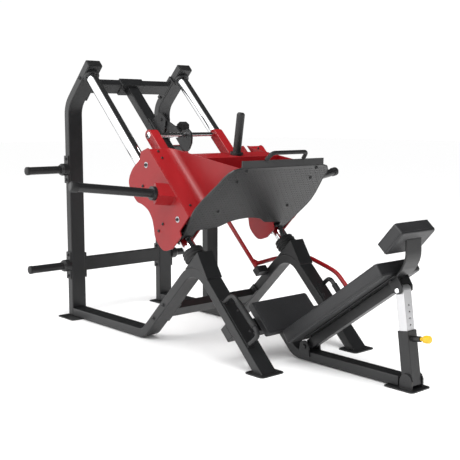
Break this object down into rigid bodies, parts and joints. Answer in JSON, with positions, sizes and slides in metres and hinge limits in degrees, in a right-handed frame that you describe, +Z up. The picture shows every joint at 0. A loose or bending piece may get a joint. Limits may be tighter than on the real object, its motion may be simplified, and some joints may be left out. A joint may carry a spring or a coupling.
{
  "type": "leg press machine",
  "caption": "Plate-loaded inclined leg press: a sliding carriage with a footplate on guide rods, a reclining backrest on a pinned post, and storage horns.",
  "frame": {"origin": "centre of the footprint, on the floor", "axes": "+X across the machine towards the safety lever, +Y from the backrest towards the rear uprights, +Z up"},
  "size_m": [1.985, 2.5322, 1.6041],
  "materials": {
    "frame_paint": "satin powder coat",
    "red_paint": "satin powder coat",
    "chrome": "polished",
    "silver_tube": "satin plated",
    "black_paint": "black powder coat",
    "rubber": "matt",
    "vinyl": "grained synthetic leather",
    "yellow_knob": "gloss"
  },
  "bodies": {
    "frame": {"rear_upright_left": "frame_paint", "rear_upright_right": "frame_paint", "base_arch_left": "frame_paint", "base_arch_right": "frame_paint", "rod_seat_cap_left": "frame_paint", "rod_seat_cap_right": "frame_paint", "top_crossbeam": "frame_paint", "lower_crossbeam": "frame_paint", "incline_crossbeam": "frame_paint", "seat_crossbeam": "frame_paint", "center_spine": "frame_paint", "center_rail": "frame_paint", "safety_hook": "frame_paint", "guide_rod_left": "chrome", "guide_rod_right": "chrome", "rear_foot_left": "black_paint", "rear_foot_right": "black_paint", "front_foot_left": "black_paint", "front_foot_right": "black_paint", "storage_horn_upper_left": "black_paint", "storage_horn_upper_right": "black_paint", "storage_horn_lower_left": "black_paint", "storage_horn_lower_right": "black_paint", "grip_handle_left": "black_paint", "grip_handle_right": "black_paint", "hinge_pin": "black_paint", "center_foot": "black_paint", "hook_bracket": "black_paint", "lever_lower_bearing": "black_paint", "lever_upper_bearing": "black_paint", "rod_bumper_left": "rubber", "rod_bumper_right": "rubber", "hook_weight": "rubber", "seat_pad": "vinyl"},
    "carriage": {"carriage_outer_plate_left": "red_paint", "carriage_outer_plate_right": "red_paint", "carriage_inner_plate_left": "red_paint", "carriage_inner_plate_right": "red_paint", "carriage_front_panel_left": "red_paint", "carriage_front_panel_right": "red_paint", "linear_bearing_left": "black_paint", "linear_bearing_right": "black_paint", "cross_rod_arm_left": "red_paint", "cross_rod_arm_right": "red_paint", "weight_horn_left": "black_paint", "weight_horn_right": "black_paint", "carriage_crossbox": "red_paint", "weight_horn_center": "black_paint", "cross_rod": "chrome", "footplate": "black_paint", "footplate_handle": "black_paint"},
    "lever": {"safety_lever": "red_paint"},
    "backrest": {"backrest_frame": "frame_paint", "backrest_pad": "vinyl", "post_pin": "chrome", "headrest_pad": "vinyl", "headrest_bracket": "black_paint"},
    "post_sleeve": {"post_outer": "frame_paint"},
    "post_slider": {"post_inner": "silver_tube"},
    "pop_pin": {"pop_pin_knob": "yellow_knob"}
  },
  "joints": [
    {"name": "carriage_slide", "type": "slide", "parent": "frame", "child": "carriage", "axis": [0, 0.7071, 0.7071], "range_m": [0, 0.45]},
    {"name": "safety_lever_swing", "type": "hinge", "parent": "frame", "child": "lever", "pos_m": [0.24, 0.29844, 0.52226], "axis": [0, 0.7071, 0.7071], "range_deg": [0, 25], "stiffness_Nm_per_rad": 25, "springref_deg": -22.92},
    {"name": "backrest_tilt", "type": "hinge", "parent": "frame", "child": "backrest", "pos_m": [0, -0.5119, 0.08], "axis": [1, 0, 0], "range_deg": [0, 10.7]},
    {"name": "post_tilt", "type": "hinge", "parent": "frame", "child": "post_sleeve", "pos_m": [0, -1.1639, 0.04], "axis": [1, 0, 0], "range_deg": [-0.2, 8.6]},
    {"name": "post_slide", "type": "slide", "parent": "post_sleeve", "child": "post_slider", "axis": [0, 0.1404, 0.9901], "range_m": [-0.1212, 0.0003]},
    {"name": "pop_pin_pull", "type": "slide", "parent": "post_sleeve", "child": "pop_pin", "axis": [0, -0.9901, 0.1404], "range_m": [0, 0.012], "stiffness_N_per_m": 1500, "springref_m": -0.008}
  ],
  "couplings": [
    {"joint": "post_tilt", "follows": "backrest_tilt", "ratio": 0.76878},
    {"joint": "post_slide", "follows": "backrest_tilt", "m_per_rad": -0.64689}
  ]
}
